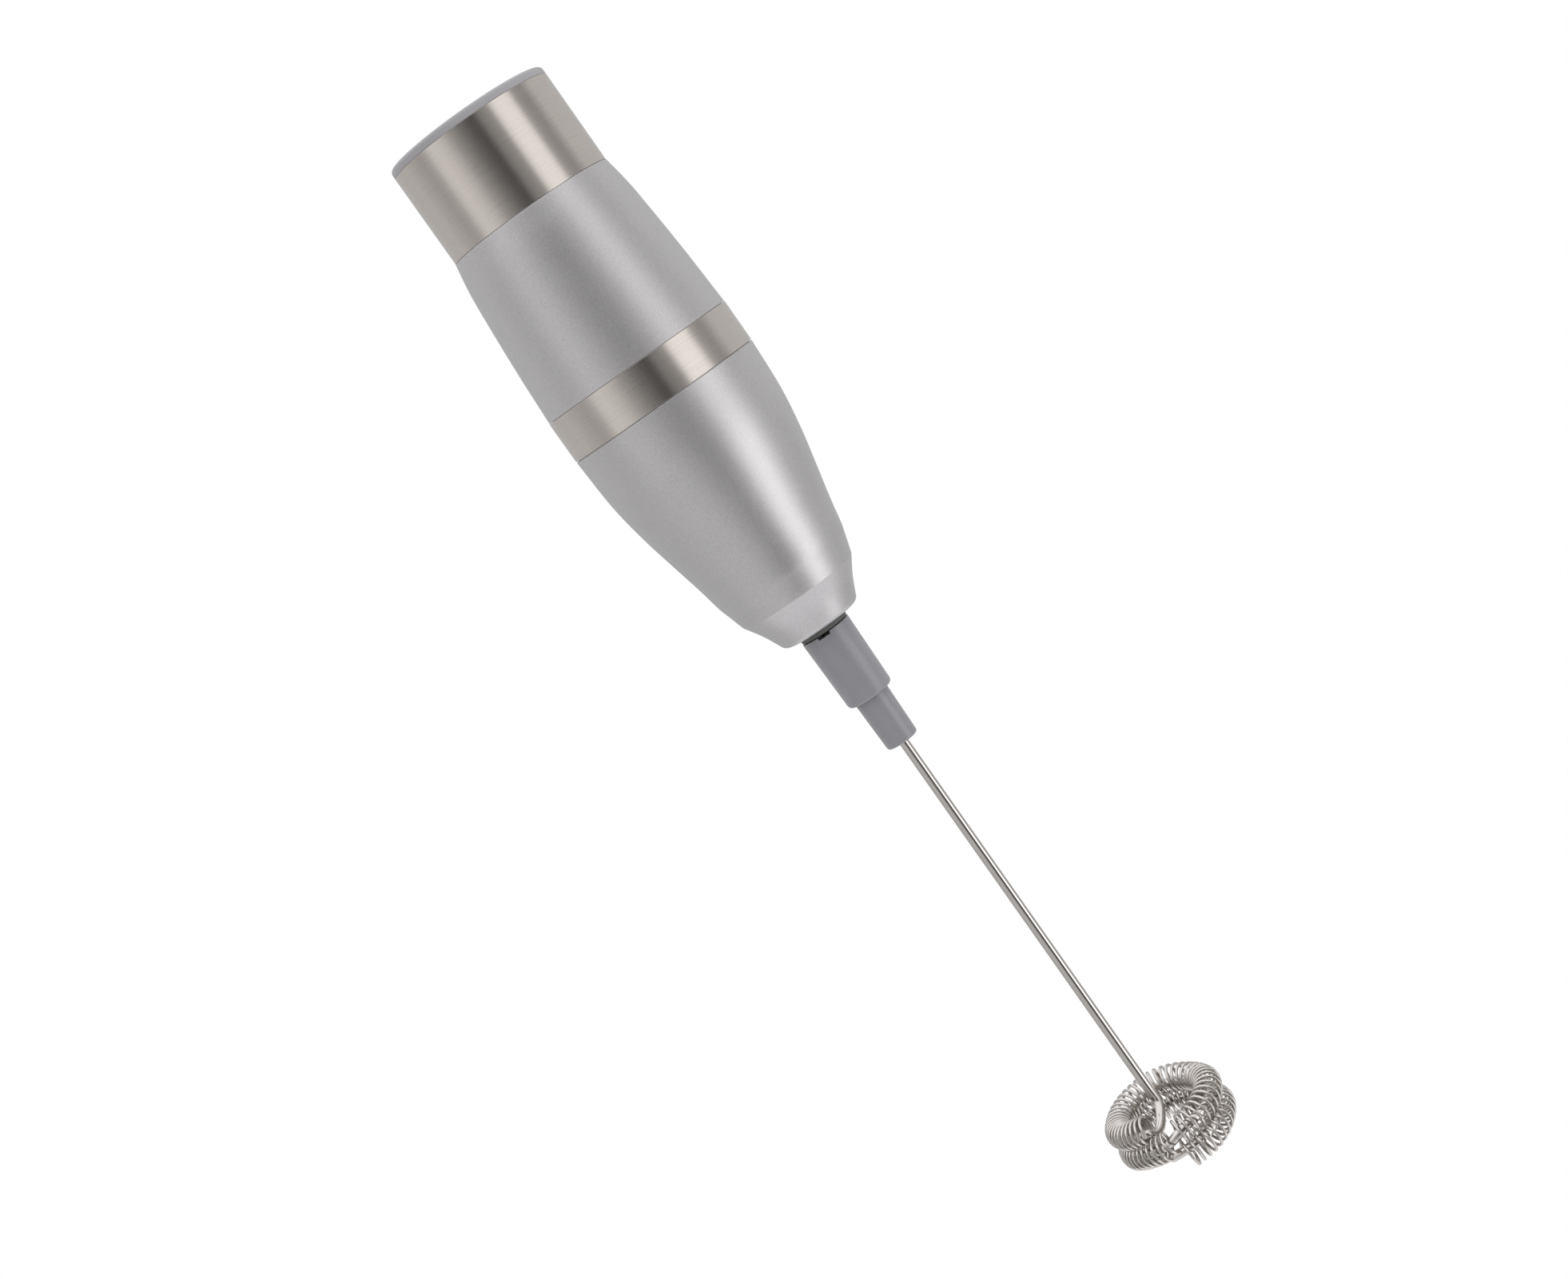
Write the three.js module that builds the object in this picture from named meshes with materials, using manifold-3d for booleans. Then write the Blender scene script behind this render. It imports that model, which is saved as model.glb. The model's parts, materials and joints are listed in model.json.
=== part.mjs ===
// Battery-powered milk frother: a two-part barrel handle with a push button on
// top, two AA cells and a small DC motor inside, and a whisk that is a wire
// spring threaded on a ring of thick wire.
//
// Millimetres, +Z up along the drive axis, the whisk below. The origin is on the
// drive axis at the middle of the steel grip band. -Y is the front.
import * as THREE from 'three';
import { mergeVertices } from 'three/addons/utils/BufferGeometryUtils.js';
import Module from 'manifold-3d';

const wasm = await Module();
wasm.setup();

// ---------------------------------------------------------------- dimensions
const GAP = 0.3; // clearance between neighbouring solids
const STEEL = 0.5; // sheet steel of the bands

// grip band, at the widest place of the handle
const BAND_R = 19.0;
const BAND_HALF = 4.07;

// top cap: steel band, bezel and button
const CAP_R = 16.15;
const CAP_LOW = 36.4;
const CAP_HIGH = 54.1;
const BEZEL_TOP = 55.9;
const BEZEL_LIP_R = 13.4;
const BUTTON_TOP = 56.6;
const STEM_R = 2.2;
const STEM_LOW = 43.0;
const GUIDE_Z = 46.3;

// shells
const SHELL_INNER_R = 14.95;
const NECK_R = CAP_R - STEEL - GAP;
const NECK_INNER_R = 14.8;
const SPIGOT_R = 16.6;
const SPIGOT_TOP = 3.5;
const NOSE_Z = -53.0;
const NOSE_BORE_R = 3.6;
const NOSE_RECESS_R = 5.1;
const NOSE_RECESS_Z = NOSE_Z + 0.4;

// cells: AA size
const CELL_R = 7.1;
const CELL_LENGTH = 50.2;
const CELL_NUB = 1.1;
const CELL_X = 7.35;
const CELL_1_LOW = -13.0;
const CELL_2_LOW = -16.3;

// battery frame
const FLOOR_Z = -19.1;
const FLOOR_TOP = -17.3;
const ROOF_Z = 38.2;
const ROOF_TOP = 39.8;
const COLUMN_Y = 7.4;
const SCREW_Y = 12.3;
const TAIL_X = 12.2;
const TAIL_Y = 3.0;

// switch on the roof of the frame
const STRIP = 0.4;
const CONTACT_Z = ROOF_TOP + GAP;
const LEAF_HEEL = { x: 10.5, z: 41.0 };
const LEAF_TIP = { x: -6.5, z: 43.2 };

// motor: flat-sided can
const MOTOR_R = 10.0;
const MOTOR_FLAT = 7.7;
const MOTOR_LOW = -44.0;
const MOTOR_HIGH = -24.0;
const BELL_TOP = -21.5;
const TERMINAL_X = 5.0;
const SHAFT_R = 1.0;
const BORE_R = SHAFT_R + GAP;

// drive coupling and whisk
const COUPLING_TOP = -54.2;
const COUPLING_STEP = -68.6;
const COUPLING_LOW = -78.8;
const CUP_R = 4.25;
const CUP_DEPTH = 1.1;
const WIRE_R = 0.9;
const RING_R = 9.2;
const RING_START_DEG = -120;
const RING_TOP_Z = -162.0;
const RING_PITCH = 4.4;
const RING_LEAN = 0.08;
const SPRING_R = 2.4;
const SPRING_WIRE_R = 0.25;
const SPRING_LOOPS_PER_TURN = 34;
const SPRING_SWEEP_DEG = 694;
const CORE_DROP = 0.9;

// facets
const LARGE = 28;
const MEDIUM = 20;
const SMALL = 12;

// ----------------------------------------------------------------- materials
function material(color, roughness, metalness) {
  return new THREE.MeshStandardMaterial({ color, roughness, metalness });
}
const silverPaint = material(0xb4b4b8, 0.45, 0.35);
const brushedSteel = material(0xa39a92, 0.3, 1.0);
const greyPlastic = material(0x9a9aa4, 0.6, 0.0);
const couplingPlastic = material(0x87888d, 0.5, 0.0);
const darkPlastic = material(0x2c2d30, 0.6, 0.0);
const darkRubber = material(0x3a3b39, 0.85, 0.0);
const brightWire = material(0xc8c6c2, 0.15, 1.0);
const brass = material(0xc9a54e, 0.3, 1.0);
const bronze = material(0xb5794a, 0.35, 1.0);
const copper = material(0xb4612c, 0.35, 1.0);
const zincSteel = material(0xa7abad, 0.4, 1.0);
const ferrite = material(0x3b3b3e, 0.8, 0.0);
const cellJacket = material(0x3d5a4c, 0.35, 0.1);
const redInsulation = material(0xa52a22, 0.5, 0.0);
const blackInsulation = material(0x1e1e20, 0.5, 0.0);

// ------------------------------------------------------------ shape helpers
// Positions only, shared vertices merged, as the booleans need.
function plain(geometry) {
  const copy = geometry.clone();
  for (const name of Object.keys(copy.attributes)) {
    if (name !== 'position') copy.deleteAttribute(name);
  }
  return mergeVertices(copy, 1e-4);
}

function toSolid(geometry) {
  const merged = plain(geometry);
  return new wasm.Manifold(new wasm.Mesh({
    numProp: 3,
    vertProperties: new Float32Array(merged.attributes.position.array),
    triVerts: new Uint32Array(merged.index.array),
  }));
}

function toGeometry(solid) {
  const mesh = solid.getMesh();
  const geometry = new THREE.BufferGeometry();
  geometry.setAttribute('position', new THREE.BufferAttribute(mesh.vertProperties, 3));
  geometry.setIndex(new THREE.BufferAttribute(mesh.triVerts, 1));
  geometry.computeVertexNormals();
  return geometry;
}

function join(first, ...others) {
  return toGeometry(others.reduce((sum, part) => sum.add(toSolid(part)), toSolid(first)));
}

function cut(first, ...tools) {
  return toGeometry(tools.reduce((rest, tool) => rest.subtract(toSolid(tool)), toSolid(first)));
}

// A profile of [radius, z] pairs, turned about Z.
function turned(profile, segments = MEDIUM) {
  const points = profile.map(([r, z]) => new THREE.Vector2(r, z));
  return new THREE.LatheGeometry(points, segments).rotateX(Math.PI / 2);
}

// A closed ring section, turned about Z.
function turnedRing(profile, segments = MEDIUM) {
  return turned([...profile, profile[0]], segments);
}

function tube(inner, outer, low, high, segments = MEDIUM) {
  return turnedRing([[inner, low], [outer, low], [outer, high], [inner, high]], segments);
}

function rod(radius, low, high, x = 0, y = 0, segments = SMALL) {
  return new THREE.CylinderGeometry(radius, radius, high - low, segments)
    .rotateX(Math.PI / 2)
    .translate(x, y, (low + high) / 2);
}

function block(x0, x1, y0, y1, z0, z1) {
  return new THREE.BoxGeometry(x1 - x0, y1 - y0, z1 - z0)
    .translate((x0 + x1) / 2, (y0 + y1) / 2, (z0 + z1) / 2);
}

function extruded(shape, low, high, curveSegments = SMALL) {
  return new THREE.ExtrudeGeometry(shape, { depth: high - low, bevelEnabled: false, curveSegments })
    .translate(0, 0, low);
}

// A profile in X and Z, given width along Y.
function strip(points, halfWidth) {
  const shape = new THREE.Shape(points.map(([x, z]) => new THREE.Vector2(x, z)));
  return new THREE.ExtrudeGeometry(shape, { depth: 2 * halfWidth, bevelEnabled: false })
    .rotateX(Math.PI / 2)
    .translate(0, halfWidth, 0);
}

// A round wire swept along a path of points.
function wire(points, radius, steps, sides) {
  const section = new THREE.Shape();
  section.absarc(0, 0, radius, 0, 2 * Math.PI, false);
  const path = new THREE.CatmullRomCurve3(points.map((p) => new THREE.Vector3(...p)), false, 'centripetal');
  path.arcLengthDivisions = 8 * steps;
  return new THREE.ExtrudeGeometry(section, { steps, extrudePath: path, bevelEnabled: false, curveSegments: sides });
}

// Points on a smooth outline through [radius, z] pairs.
function smooth(pairs, count) {
  const curve = new THREE.SplineCurve(pairs.map(([r, z]) => new THREE.Vector2(r, z)));
  return curve.getPoints(count).map((p) => [p.x, p.y]);
}

// A quarter-round corner from angle to angle about a centre.
function corner(r, z, radius, fromDeg, toDeg, count = 4) {
  const points = [];
  for (let i = 0; i <= count; i += 1) {
    const angle = THREE.MathUtils.degToRad(fromDeg + ((toDeg - fromDeg) * i) / count);
    points.push([r + radius * Math.cos(angle), z + radius * Math.sin(angle)]);
  }
  return points;
}

function polar(radius, degrees) {
  const angle = THREE.MathUtils.degToRad(degrees);
  return [radius * Math.cos(angle), radius * Math.sin(angle)];
}

// A round helix of a few turns, as a list of points.
function helix(x, y, lowRadius, highRadius, low, high, turns, startDeg = 0) {
  const points = [];
  const count = Math.round(turns * 12);
  for (let i = 0; i <= count; i += 1) {
    const u = i / count;
    const [dx, dy] = polar(lowRadius + (highRadius - lowRadius) * u, startDeg + 360 * turns * u);
    points.push([x + dx, y + dy, low + (high - low) * u]);
  }
  return points;
}

// ------------------------------------------------------------ cover sub-parts
function upperShell() {
  const outer = smooth([[18.93, BAND_HALF + GAP], [18.37, 15], [17.7, 24.2], [17.1, 30.7],
    [16.2, CAP_LOW - GAP]], 8);
  const inner = smooth([[15.5, 30.7], [16.1, 24.2], [16.75, 15], [SPIGOT_R + 0.35, 8]], 5);
  const sleeveR = BAND_R - STEEL - GAP;
  const ledge = GUIDE_Z - GAP;
  return turnedRing([
    [SPIGOT_R + 0.35, -BAND_HALF + 0.1], [sleeveR, -BAND_HALF + 0.1], [sleeveR, BAND_HALF + GAP],
    ...outer,
    [NECK_R, CAP_LOW - GAP], [NECK_R, 50.0], [NECK_INNER_R, 50.0], [NECK_INNER_R, ledge],
    [13.6, ledge], [13.6, ledge - 1.0], [NECK_INNER_R, ledge - 2.0], [NECK_INNER_R, 36.5],
    ...inner,
  ], LARGE);
}

function capBand() {
  return tube(CAP_R - STEEL, CAP_R, CAP_LOW, CAP_HIGH, LARGE);
}

function gripBand() {
  return tube(BAND_R - STEEL, BAND_R, -BAND_HALF, BAND_HALF, LARGE);
}

function topBezel() {
  const seat = CAP_HIGH + GAP;
  const round = 0.8;
  return turnedRing([
    [14.2, 50.3], [NECK_R, 50.3], [NECK_R, seat], [CAP_R, seat],
    ...corner(CAP_R - round, BEZEL_TOP - round, round, 0, 90),
    [BEZEL_LIP_R, BEZEL_TOP], [BEZEL_LIP_R, 54.6], [14.2, 54.6],
  ], LARGE);
}

function buttonGuide() {
  return turnedRing([
    [STEM_R + 0.35, GUIDE_Z], [NECK_INNER_R - GAP, GUIDE_Z], [NECK_INNER_R - GAP, GUIDE_Z + 1.5],
    [4.0, GUIDE_Z + 1.5], [4.0, GUIDE_Z + 3.5], [STEM_R + 0.35, GUIDE_Z + 3.5],
  ], MEDIUM);
}

// ----------------------------------------------------------- button sub-parts
function buttonCap() {
  const sideR = BEZEL_LIP_R - GAP;
  const round = 0.7;
  const edgeZ = BEZEL_TOP;
  const crown = smooth([[sideR - round, edgeZ], [8, BUTTON_TOP - 0.25], [0, BUTTON_TOP]], 5);
  return turned([
    [0, STEM_LOW], [STEM_R, STEM_LOW], [STEM_R, 54.5], [12.0, 54.5], [12.0, 52.6],
    [13.8, 52.6], [13.8, 54.2], [sideR, 54.2],
    ...corner(sideR - round, edgeZ - round, round, 0, 75, 3),
    ...crown,
  ], LARGE);
}

function buttonSpring() {
  return wire(helix(0, 0, 5.5, 5.5, GUIDE_Z + 2.15, 53.85, 3.5), 0.3, 42, 2);
}

// ------------------------------------------------------------- root sub-parts
function lowerShell() {
  const barrel = smooth([[11.62, -45.75], [12.25, -44], [13.36, -40], [14.38, -35.2], [15.87, -28.5],
    [17.25, -22], [18.42, -14.2], [18.97, -BAND_HALF - GAP]], 10);
  const nose = [[8.2, -51.9], [9.0, -50.1], [9.95, -48.3], [10.75, -47.05]];
  const wall = smooth([[SHELL_INNER_R, -24], [14.2, -28.5], [12.75, -35.2], [11.8, -40.5], [10.6, -44.2]], 4);
  const rimZ = -BAND_HALF - GAP;
  const body = turnedRing([
    [NOSE_BORE_R, NOSE_RECESS_Z], [NOSE_RECESS_R, NOSE_RECESS_Z], [NOSE_RECESS_R, NOSE_Z], [6.9, NOSE_Z],
    [7.8, -52.65], ...nose, ...barrel,
    [SPIGOT_R, rimZ], [SPIGOT_R, -0.75], [15.35, -0.75], [15.35, 0.75], [SPIGOT_R, 0.75],
    [SPIGOT_R, SPIGOT_TOP - 0.4], [SPIGOT_R - 0.4, SPIGOT_TOP], [14.75, SPIGOT_TOP], [14.75, -22.5],
    ...wall,
    [10.2, -46.2], [8.4, -46.2], [6.4, -51.2], [NOSE_BORE_R, -51.2],
  ], LARGE);
  const posts = [SCREW_Y, -SCREW_Y].map((y) => rod(2.4, -33.0, FLOOR_Z - GAP, 0, y));
  const holes = [SCREW_Y, -SCREW_Y].map((y) => rod(1.15, -28.0, FLOOR_Z, 0, y));
  return cut(join(body, ...posts), ...holes);
}

function coverORing() {
  return new THREE.TorusGeometry(16.1, 0.45, 6, LARGE);
}

function batteryFrame() {
  const floor = rod(14.4, FLOOR_Z, FLOOR_TOP, 0, 0, LARGE);
  const roof = rod(14.3, ROOF_Z, ROOF_TOP, 0, 0, LARGE);
  const sides = [1, -1];
  const columns = sides.map((s) => rod(2.4, FLOOR_TOP - 0.2, ROOF_Z + 0.2, 0, s * COLUMN_Y));
  const feet = sides.map((s) => rod(1.5, BELL_TOP + GAP, FLOOR_Z + 0.2, 0, s * 5.5));
  const screwHoles = sides.map((s) => rod(1.15, FLOOR_Z - 1, FLOOR_TOP + 1, 0, s * SCREW_Y));
  const tailHoles = sides.map((s) => rod(0.85, FLOOR_Z - 1, FLOOR_TOP + 1, s * TAIL_X, TAIL_Y));
  const contactSlot = block(-9.5, -8.5, -2.3, 2.3, ROOF_Z - 1, ROOF_TOP + 1);
  const bracketSlot = block(12.4, 13.4, -2.8, 2.8, ROOF_Z - 1, ROOF_TOP + 1);
  const body = join(floor, roof, ...columns, ...feet);
  return cut(body, ...screwHoles, ...tailHoles, contactSlot, bracketSlot);
}

// An AA cell with its nub up, standing on z = 0.
function cell() {
  const shoulder = CELL_LENGTH - CELL_NUB;
  return turned([
    [0, 0], [CELL_R - 0.5, 0], [CELL_R, 0.5], [CELL_R, shoulder - 0.7], [CELL_R - 0.7, shoulder],
    [2.7, shoulder], [2.7, CELL_LENGTH], [0, CELL_LENGTH],
  ], MEDIUM);
}

function bottomSpring() {
  const tail = [[-TAIL_X, TAIL_Y, FLOOR_Z - 0.3], [-TAIL_X, TAIL_Y, -18.0], [-TAIL_X, TAIL_Y, -17.1],
    [-TAIL_X + 2.5, 4.6, -16.7]];
  const coil = helix(-CELL_X, 0, 4.5, 2.8, -16.7, -13.6, 2.5, 90);
  return wire([...tail, ...coil], GAP, 46, 2);
}

function topSpring() {
  return wire(helix(CELL_X, 0, 2.8, 4.6, 34.5, 36.8, 2.5), GAP, 30, 2);
}

function bottomPlate() {
  const plateZ = FLOOR_TOP + GAP;
  const plate = block(CELL_X - 3.8, TAIL_X + 0.6, -3.6, 3.6, plateZ, plateZ + STRIP);
  const tail = rod(0.5, FLOOR_Z - 0.3, plateZ + 0.2, TAIL_X, TAIL_Y, 8);
  return join(plate, tail);
}

// The plate over the first cell, with a tab through the roof that ends in the
// switch's fixed contact.
function topPlate() {
  const low = ROOF_Z - GAP - STRIP;
  const high = CONTACT_Z + STRIP;
  return strip([
    [-12.0, low], [-3.4, low], [-3.4, low + STRIP], [-8.8, low + STRIP], [-8.8, CONTACT_Z],
    [-4.0, CONTACT_Z], [-4.0, high], [-9.2, high], [-9.2, low + STRIP], [-12.0, low + STRIP],
  ], 2.0);
}

// From the second cell's spring, through the roof, to the heel of the leaf.
function switchBracket() {
  const low = ROOF_Z - GAP - STRIP;
  const high = CONTACT_Z + STRIP;
  return strip([
    [3.5, low], [13.1, low], [13.1, high], [9.4, high], [9.4, CONTACT_Z], [12.7, CONTACT_Z],
    [12.7, low + STRIP], [3.5, low + STRIP],
  ], 2.5);
}

function switchLeaf() {
  const dimpleX = 0;
  const slope = (LEAF_TIP.z - LEAF_HEEL.z) / (LEAF_TIP.x - LEAF_HEEL.x);
  const lineZ = (x) => LEAF_HEEL.z + slope * (x - LEAF_HEEL.x);
  const low = [[LEAF_HEEL.x, lineZ(LEAF_HEEL.x)], [LEAF_TIP.x, lineZ(LEAF_TIP.x)]];
  const high = [LEAF_TIP.x, dimpleX - 1, dimpleX + 1, LEAF_HEEL.x].map((x) => [x, lineZ(x) + STRIP]);
  return strip([...low, ...high], 2.2);
}

// Outline of the motor: a circle with two flats.
function motorOutline(radius, flat) {
  const angle = Math.asin(flat / radius);
  const shape = new THREE.Shape();
  shape.absarc(0, 0, radius, -angle, angle, false);
  shape.absarc(0, 0, radius, Math.PI - angle, Math.PI + angle, false);
  shape.closePath();
  return shape;
}

function motorCan() {
  const sheet = 0.8;
  const outside = extruded(motorOutline(MOTOR_R, MOTOR_FLAT), MOTOR_LOW, MOTOR_HIGH);
  const inside = extruded(motorOutline(MOTOR_R - sheet, MOTOR_FLAT - sheet), MOTOR_LOW + sheet, MOTOR_HIGH + 1);
  return cut(outside, inside, rod(3.3, MOTOR_LOW - 1, MOTOR_LOW + 2, 0, 0, MEDIUM));
}

function motorEndBell() {
  const plate = extruded(motorOutline(MOTOR_R, MOTOR_FLAT), MOTOR_HIGH + GAP, BELL_TOP);
  const slots = [1, -1].map((s) => {
    const middle = s * (TERMINAL_X + 0.25);
    return block(middle - 0.6, middle + 0.6, -1.6, 1.6, MOTOR_HIGH - 1, BELL_TOP + 1);
  });
  return cut(plate, rod(2.2, MOTOR_HIGH - 1, BELL_TOP + 1, 0, 0, MEDIUM), ...slots);
}

function magnet(middleDeg) {
  const half = THREE.MathUtils.degToRad(42);
  const middle = THREE.MathUtils.degToRad(middleDeg);
  const shape = new THREE.Shape();
  shape.absarc(0, 0, 8.9, middle - half, middle + half, false);
  shape.absarc(0, 0, 7.4, middle + half, middle - half, true);
  shape.closePath();
  return extruded(shape, -42.0, -27.0, 12);
}

// Three-pole stack: a hub, three necks and three curved pole shoes.
function armatureCore() {
  const low = -41.0;
  const high = -29.0;
  const pieces = [rod(2.7, low, high, 0, 0, MEDIUM)];
  for (let pole = 0; pole < 3; pole += 1) {
    const middle = THREE.MathUtils.degToRad(90 + 120 * pole);
    const half = THREE.MathUtils.degToRad(48);
    const shoe = new THREE.Shape();
    shoe.absarc(0, 0, 6.5, middle - half, middle + half, false);
    shoe.absarc(0, 0, 5.5, middle + half, middle - half, true);
    shoe.closePath();
    pieces.push(extruded(shoe, low, high, 12));
    pieces.push(block(-1.2, 1.2, 2.0, 6.0, low, high).rotateZ(middle - Math.PI / 2));
  }
  return cut(join(...pieces), rod(BORE_R, low - 1, high + 1));
}

function winding(pole) {
  const turn = THREE.MathUtils.degToRad(120 * pole);
  const coil = block(-2.4, 2.4, 3.1, 4.6, -42.0, -28.0);
  const neck = block(-1.5, 1.5, 2.0, 6.0, -41.3, -28.7);
  return cut(coil, neck).rotateZ(turn);
}

function commutator() {
  return tube(BORE_R, 2.6, -28.3, -24.8, SMALL);
}

function motorShaft() {
  return rod(SHAFT_R, -66.0, -22.3);
}

function brush(side) {
  const x = TERMINAL_X;
  const arm = strip([
    [3.0, -26.9], [x + 0.5, -26.9], [x + 0.5, -19.6], [x, -19.6], [x, -26.4], [3.0, -26.4],
  ], 1.2);
  return side > 0 ? arm : arm.rotateZ(Math.PI);
}

function frontBushing() {
  return tube(BORE_R, 3.0, -45.4, -42.6, MEDIUM);
}

function rearBushing() {
  return tube(BORE_R, 1.9, MOTOR_HIGH + GAP, -21.8, MEDIUM);
}

function motorCushion() {
  return tube(4.0, 9.6, -45.9, MOTOR_LOW - GAP, MEDIUM);
}

// A grommet: a neck through the nose between an inner and an outer flange.
function shaftSeal() {
  const flangeR = NOSE_RECESS_R - GAP;
  const neckR = NOSE_BORE_R - GAP;
  const outerFlange = COUPLING_TOP + GAP;
  const innerFlange = -50.9;
  return turnedRing([
    [BORE_R, outerFlange], [flangeR, outerFlange], [flangeR, NOSE_RECESS_Z - GAP],
    [neckR, NOSE_RECESS_Z - GAP], [neckR, innerFlange], [5.2, innerFlange], [5.2, innerFlange + 1],
    [BORE_R, innerFlange + 1],
  ], MEDIUM);
}

function frameScrew(side) {
  return turned([
    [0, -26.5], [0.4, -26.5], [0.85, -25.9], [0.85, -17.0], [1.9, -17.0], [1.9, -16.3], [1.3, -15.8],
    [0, -15.8],
  ], SMALL).translate(0, side * SCREW_Y, 0);
}

function motorLead(side) {
  const route = [
    [TAIL_X, TAIL_Y, -19.75], [TAIL_X - 0.2, TAIL_Y - 0.15, -20.2], [10.4, 2.2, -20.4],
    [8.0, 0.9, -20.4], [TERMINAL_X + 0.8, 0, -20.4],
  ];
  return wire(route.map(([x, y, z]) => [side * x, y, z]), 0.45, 10, 3);
}

// ------------------------------------------------------------ whisk sub-parts
function whiskCoupling() {
  const body = turned([
    [0, COUPLING_LOW], [2.85, COUPLING_LOW], [3.17, COUPLING_LOW + 0.4], [3.4, COUPLING_STEP - 0.5],
    [3.9, COUPLING_STEP], [4.4, COUPLING_STEP], [4.72, COUPLING_STEP + 0.4], [4.88, COUPLING_TOP - 0.2],
    [4.7, COUPLING_TOP], [CUP_R, COUPLING_TOP], [CUP_R, COUPLING_TOP - CUP_DEPTH],
    [0, COUPLING_TOP - CUP_DEPTH],
  ], LARGE);
  const shaftBore = rod(BORE_R, -66.4, COUPLING_TOP + 1);
  const wireBore = rod(WIRE_R + GAP, COUPLING_LOW - 1, -68.9);
  const notch = block(-1.25, 1.25, -6.0, -3.9, COUPLING_TOP - 0.5, COUPLING_TOP + 1)
    .rotateZ(THREE.MathUtils.degToRad(-10.6));
  return cut(body, shaftBore, wireBore, notch);
}

// Centre of the whisk's double ring: two falling turns, clockwise from above.
function ringPoint(sweepDeg, drop) {
  const [x, y] = polar(RING_R, RING_START_DEG - sweepDeg);
  const z = RING_TOP_Z - (RING_PITCH * sweepDeg) / 360 + RING_LEAN * (y + x);
  return [x, y, z - drop];
}

// The thick wire: down the axis, out through a hook, then round inside the
// spring, low in its upper turn and high in its lower turn.
function whiskWire() {
  const points = [[0, 0, -69.2], [0, 0, -100], [0, 0, -130], [0, 0, -150], [0, 0, -158], [0, -0.2, -160.2],
    [-0.4, -1.9, -161.8], [-1.3, -5.0, -163.0], [-2.4, -7.7, -163.6]];
  const step = 15;
  for (let sweep = 0; sweep <= SPRING_SWEEP_DEG + step; sweep += step) {
    points.push(ringPoint(sweep, CORE_DROP * (1 - (2 * sweep) / SPRING_SWEEP_DEG)));
  }
  return wire(points, WIRE_R, 110, 3);
}

// The thin wire: a long spring threaded on the ring.
function whiskSpring() {
  const loops = (SPRING_LOOPS_PER_TURN * SPRING_SWEEP_DEG) / 360;
  const count = Math.round(loops * 6);
  const points = [];
  for (let i = 0; i <= count; i += 1) {
    const sweep = (SPRING_SWEEP_DEG * i) / count;
    const [x, y, z] = ringPoint(sweep, 0);
    const around = THREE.MathUtils.degToRad(SPRING_LOOPS_PER_TURN * sweep);
    const outward = (SPRING_R * Math.cos(around)) / RING_R;
    points.push([x * (1 + outward), y * (1 + outward), z + SPRING_R * Math.sin(around)]);
  }
  return wire(points, SPRING_WIRE_R, count, 2);
}

// ------------------------------------------------------------------ assembly
const group = new THREE.Group();

function add(name, geometry, look, place = [0, 0, 0]) {
  const mesh = new THREE.Mesh(geometry, look);
  mesh.name = name;
  mesh.position.set(...place);
  group.add(mesh);
  return mesh;
}

// cover: pulls off upwards for the cells
add('upper_shell', upperShell(), silverPaint);
add('cap_band', capBand(), brushedSteel);
add('grip_band', gripBand(), brushedSteel);
add('top_bezel', topBezel(), greyPlastic);
add('button_guide', buttonGuide(), darkPlastic);

// button: pressed down into the cover
add('button_cap', buttonCap(), greyPlastic);
add('button_spring', buttonSpring(), zincSteel);

// handle: lower shell with the battery frame and the motor
add('lower_shell', lowerShell(), silverPaint);
add('cover_o_ring', coverORing(), darkRubber);
add('battery_frame', batteryFrame(), darkPlastic);
add('battery_1', cell(), cellJacket, [-CELL_X, 0, CELL_1_LOW]);
const second = add('battery_2', cell(), cellJacket, [CELL_X, 0, CELL_2_LOW + CELL_LENGTH]);
second.rotation.x = Math.PI;
add('battery_spring_1', bottomSpring(), zincSteel);
add('battery_spring_2', topSpring(), zincSteel);
add('positive_plate_bottom', bottomPlate(), zincSteel);
add('positive_plate_top', topPlate(), zincSteel);
add('switch_bracket', switchBracket(), brass);
add('switch_leaf', switchLeaf(), bronze);
add('motor_can', motorCan(), zincSteel);
add('motor_end_bell', motorEndBell(), darkPlastic);
add('magnet_1', magnet(0), ferrite);
add('magnet_2', magnet(180), ferrite);
add('brush_1', brush(1), brass);
add('brush_2', brush(-1), brass);
add('front_bushing', frontBushing(), bronze);
add('rear_bushing', rearBushing(), bronze);
add('motor_cushion', motorCushion(), darkRubber);
add('shaft_seal', shaftSeal(), darkRubber);
add('frame_screw_1', frameScrew(1), zincSteel);
add('frame_screw_2', frameScrew(-1), zincSteel);
add('wire_positive', motorLead(1), redInsulation);
add('wire_negative', motorLead(-1), blackInsulation);

// drive: the motor's rotor
add('armature_core', armatureCore(), zincSteel);
for (let pole = 0; pole < 3; pole += 1) add(`winding_${pole + 1}`, winding(pole), copper);
add('commutator', commutator(), copper);
add('motor_shaft', motorShaft(), brightWire);

// whisk: pulls off the motor's shaft
add('whisk_coupling', whiskCoupling(), couplingPlastic);
add('whisk_wire', whiskWire(), brightWire);
add('whisk_spring', whiskSpring(), brightWire);

export default group;
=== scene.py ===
# Looks of the milk frother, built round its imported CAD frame. Sizes are in millimetres
# here and turned to metres by MM where a mesh, light or camera is made. +Z is the drive
# axis, the whisk is at its lower end, and -Y is the front.
import json
import math

import bmesh
import bpy
from mathutils import Matrix, Vector


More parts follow.
